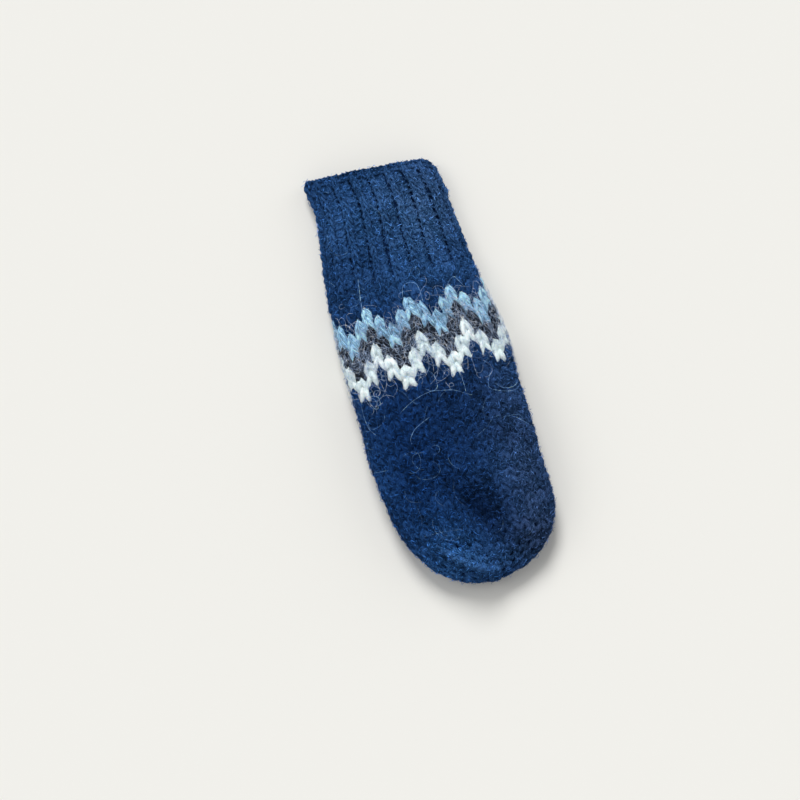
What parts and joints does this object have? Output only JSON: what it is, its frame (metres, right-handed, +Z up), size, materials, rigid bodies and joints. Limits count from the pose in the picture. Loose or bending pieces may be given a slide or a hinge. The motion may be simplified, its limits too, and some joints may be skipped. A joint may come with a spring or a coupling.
{
  "type": "wool mitten",
  "caption": "Chunky hand-knitted navy wool mitten with a ribbed cuff and a zigzag band in light blue, charcoal and white, lying flat with its thumb folded under the palm.",
  "frame": {"origin": "on the ground under the middle of the mitten's bounding box", "axes": "+Y along the mitten, out of the cuff's mouth; -Y to the finger tip; +X to the thumb side, which is the right edge seen from above with the cuff away; +Z up, out of the back of the hand"},
  "size_m": [0.1062, 0.271, 0.0341],
  "materials": {
    "navy_wool": "matte fuzzy navy wool yarn, knitted, with paler loose fibres",
    "light_blue_wool": "matte fuzzy light blue wool yarn, knitted",
    "charcoal_wool": "matte fuzzy charcoal wool yarn with grey hairs, knitted",
    "white_wool": "matte fuzzy white wool yarn, knitted"
  },
  "bodies": {
    "root": {"ribbed_cuff": "navy_wool", "wrist": "navy_wool", "light_blue_zigzag": "light_blue_wool", "charcoal_zigzag": "charcoal_wool", "white_zigzag": "white_wool", "hand": "navy_wool", "fingertip": "navy_wool", "thumb": "navy_wool"}
  },
  "joints": []
}
